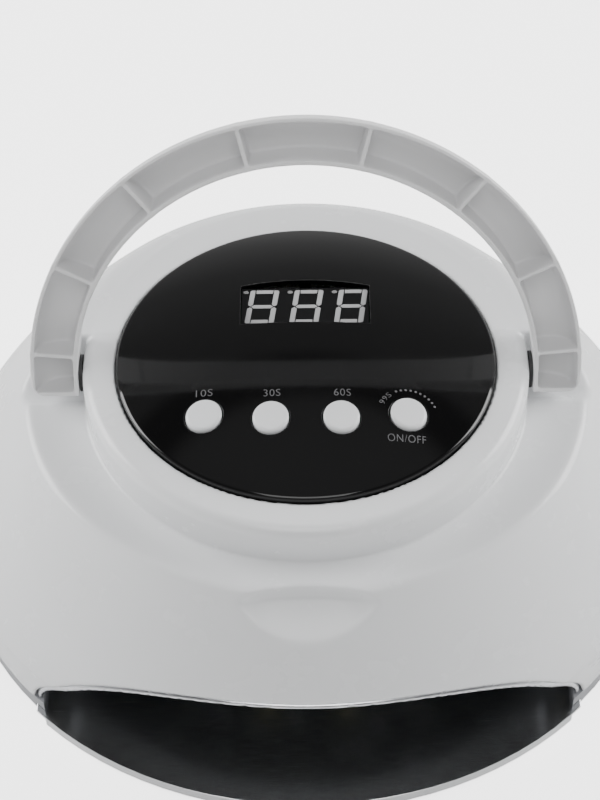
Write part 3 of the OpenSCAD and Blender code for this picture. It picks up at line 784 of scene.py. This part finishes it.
bars, dots = digits()
stands_for(flat_plates("digit_bars", bars, MODULE_HI[2] + 0.03, 0.3), "display_segments")
dot_piece = flat_plates("digit_dots", dots, MODULE_HI[2] + 0.03, 0.3)
stands_for(dot_piece, "display_segments")
dot_piece.data.materials.clear()
dot_piece.data.materials.append(moulded_plastic("dot_grey", (0.22, 0.22, 0.22), 0.5, 0.004))


# ---------------------------------------------------------------- printed marks on the panel
print_grey = moulded_plastic("print_grey", (0.13, 0.13, 0.135), 0.5, 0.004)


def printed(piece):
    """Lays a flat mark in the XY plane onto the panel's face."""
    for vertex in piece.data.vertices:
        px, py = vertex.co.x / MM, vertex.co.y / MM
        vertex.co.z = panel_height(px, py, 0.04) * MM
    piece.data.materials.clear()
    piece.data.materials.append(print_grey)
    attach(piece, "housing")


def print_text(name, words, width, height, place):
    """Words of the given width and height in millimetres, centred and put in place."""
    curve = bpy.data.curves.new(name, "FONT")
    curve.body = words
    curve.resolution_u = 5
    curve.space_character = 1.08
    curve.offset = -0.008
    holder = bpy.data.objects.new(name + "_curve", curve)
    bpy.context.scene.collection.objects.link(holder)
    depsgraph = bpy.context.evaluated_depsgraph_get()
    mesh = bpy.data.meshes.new_from_object(holder.evaluated_get(depsgraph))
    bpy.data.objects.remove(holder)
    mesh.name = name
    spots = np.array([v.co[:2] for v in mesh.vertices])
    lo, hi = spots.min(axis=0), spots.max(axis=0)
    size = Matrix.Diagonal((width / (hi[0] - lo[0]) * MM, height / (hi[1] - lo[1]) * MM, 1, 1))
    mesh.transform(place @ size @ Matrix.Translation((-(lo[0] + hi[0]) / 2, -(lo[1] + hi[1]) / 2, 0)))
    piece = bpy.data.objects.new(name, mesh)
    bpy.context.scene.collection.objects.link(piece)
    return piece


def on_panel(x, y, turn=0.0):
    return Matrix.Translation((x * MM, y * MM, 0)) @ Matrix.Rotation(turn, 4, "Z")


LABEL_H = 2.8
for label, words, shift, up in (
    ("button_10s", "10S", 0.0, 9.2),
    ("button_30s", "30S", 0.4, 9.8),
    ("button_60s", "60S", 0.4, 9.8),
):
    at = BUTTONS[label]
    printed(print_text("print_" + words, words, 5.6, LABEL_H, on_panel(at[0] + shift, at[1] + up)))
power = BUTTONS["button_power"]
printed(print_text("print_ON_OFF", "ON/OFF", 12.6, LABEL_H, on_panel(power[0] - 0.9, power[1] - 9.4)))

ARC_R = 9.6
for digit, turn in (("9", 154), ("9", 143), ("S", 132)):
    a = math.radians(turn)
    place = on_panel(power[0] + ARC_R * math.cos(a), power[1] + ARC_R * math.sin(a), a - math.pi / 2)
    printed(print_text("print_99S_%d" % turn, digit, 1.3, 1.9, place))
arc_dots = []
for turn in range(114, 18, -10):
    a = math.radians(turn)
    cx, cy = power[0] + ARC_R * math.cos(a), power[1] + ARC_R * math.sin(a)
    ring = [math.radians(30 * i) for i in range(12)]
    arc_dots.append([(cx + 0.42 * math.cos(t), cy + 0.42 * math.sin(t)) for t in ring])
arc_piece = flat_plates("print_arc_dots", arc_dots, 0, 0)
printed(arc_piece)


# ---------------------------------------------------------------- stage, lights and camera
FLOOR_LIFT = 2.6
WORLD_LIGHT = 1.2


def stage():
    """A plain pale floor, lifted toward white where the camera sees it, as a studio sweep is."""
    size = 6.0
    mesh = bpy.data.meshes.new("floor")
    corners = [(-size, -size, 0), (size, -size, 0), (size, size, 0), (-size, size, 0)]
    mesh.from_pydata(corners, [], [(0, 1, 2, 3)])
    floor = bpy.data.objects.new("floor", mesh)
    mat, shader = material("floor_pale", (0.93, 0.93, 0.93), 0.9)
    tint(mat, shader, spread(mat, noise(mat, 3, 2), 0, 1), (0.925, 0.925, 0.925), (0.935, 0.935, 0.935))
    lift = mat.node_tree.nodes.new("ShaderNodeLightPath")
    glow = mat.node_tree.nodes.new("ShaderNodeMath")
    glow.operation = "MULTIPLY"
    glow.inputs[1].default_value = FLOOR_LIFT
    mat.node_tree.links.new(lift.outputs["Is Camera Ray"], glow.inputs[0])
    mat.node_tree.links.new(glow.outputs[0], shader.inputs["Emission Strength"])
    shader.inputs["Emission Color"].default_value = (1, 1, 1, 1)
    mesh.materials.append(mat)
    bpy.context.scene.collection.objects.link(floor)


def area_light(name, place, target, size, power, size_y=None):
    data = bpy.data.lights.new(name, "AREA")
    data.shape = "RECTANGLE"
    data.size, data.size_y = size, size_y or size
    data.energy = power
    light = bpy.data.objects.new(name, data)
    light.location = place
    light.rotation_mode = "QUATERNION"
    light.rotation_quaternion = (Vector(target) - Vector(place)).to_track_quat("-Z", "Y")
    bpy.context.scene.collection.objects.link(light)
    return light


def studio_world():
    """An even studio: bright round the horizon, with a darker band overhead that glossy faces show."""
    world = bpy.data.worlds.new("studio")
    world.use_nodes = True
    nodes, links = world.node_tree.nodes, world.node_tree.links
    where = nodes.new("ShaderNodeTexCoord")
    split = nodes.new("ShaderNodeSeparateXYZ")
    ramp = nodes.new("ShaderNodeValToRGB")
    links.new(where.outputs["Generated"], split.inputs["Vector"])
    links.new(split.outputs["Z"], ramp.inputs["Fac"])
    links.new(ramp.outputs["Color"], nodes["Background"].inputs["Color"])
    stops = [(0.2, 1.0), (0.32, 0.5), (0.45, 0.28), (0.66, 0.22), (0.755, 0.2)]
    stops += [(0.785, 0.06), (0.85, 0.06), (0.88, 0.26), (1.0, 0.3)]
    ramp.color_ramp.elements.remove(ramp.color_ramp.elements[1])
    ramp.color_ramp.elements[0].position = stops[0][0]
    ramp.color_ramp.elements[0].color = (stops[0][1],) * 3 + (1,)
    for height, level in stops[1:]:
        ramp.color_ramp.elements.new(height).color = (level, level, level, 1)
    facing = nodes.new("ShaderNodeMapRange")
    facing.inputs["From Min"].default_value = -1
    facing.inputs["From Max"].default_value = 0.3
    facing.inputs["To Min"].default_value = 0.5 * WORLD_LIGHT
    facing.inputs["To Max"].default_value = WORLD_LIGHT
    links.new(split.outputs["Y"], facing.inputs["Value"])
    links.new(facing.outputs["Result"], nodes["Background"].inputs["Strength"])
    bpy.context.scene.world = world


stage()
studio_world()
area_light("front_soft", (0, -0.9, 1.5), (0, 0, 0.08), 1.0, 11)
area_light("left_soft", (-1.4, 0.5, 0.8), (0, 0, 0.08), 1.0, 32)
area_light("right_soft", (1.4, 0.5, 0.8), (0, 0, 0.08), 1.0, 32)

CAMERA_ELEVATION = math.radians(48)
CAMERA_DISTANCE = 0.700
CAMERA_ROLL = math.radians(-0.5)
CAMERA_LENS, SENSOR = 91.3, 36.0
AIM_LOW, AIM_LEFT = math.radians(0.82), math.radians(0.17)


def add_camera():
    """A camera that looks down from in front, aimed just below and left of the hinge's middle."""
    data = bpy.data.cameras.new("camera")
    data.sensor_width = SENSOR
    data.lens = CAMERA_LENS
    data.clip_start, data.clip_end = 0.01, 50
    back = Vector((0, -math.cos(CAMERA_ELEVATION), math.sin(CAMERA_ELEVATION)))
    camera = bpy.data.objects.new("camera", data)
    camera.location = Vector(PIVOT * MM) + back * CAMERA_DISTANCE
    aim = (-back).to_track_quat("-Z", "Y")
    turn_y = Matrix.Rotation(AIM_LEFT, 4, "Y")
    turn_x = Matrix.Rotation(-AIM_LOW, 4, "X")
    roll = Matrix.Rotation(CAMERA_ROLL, 4, "Z")
    camera.rotation_mode = "QUATERNION"
    camera.rotation_quaternion = aim @ (turn_y @ turn_x @ roll).to_quaternion()
    bpy.context.scene.collection.objects.link(camera)
    bpy.context.scene.camera = camera


add_camera()

bpy.context.view_layer.update()
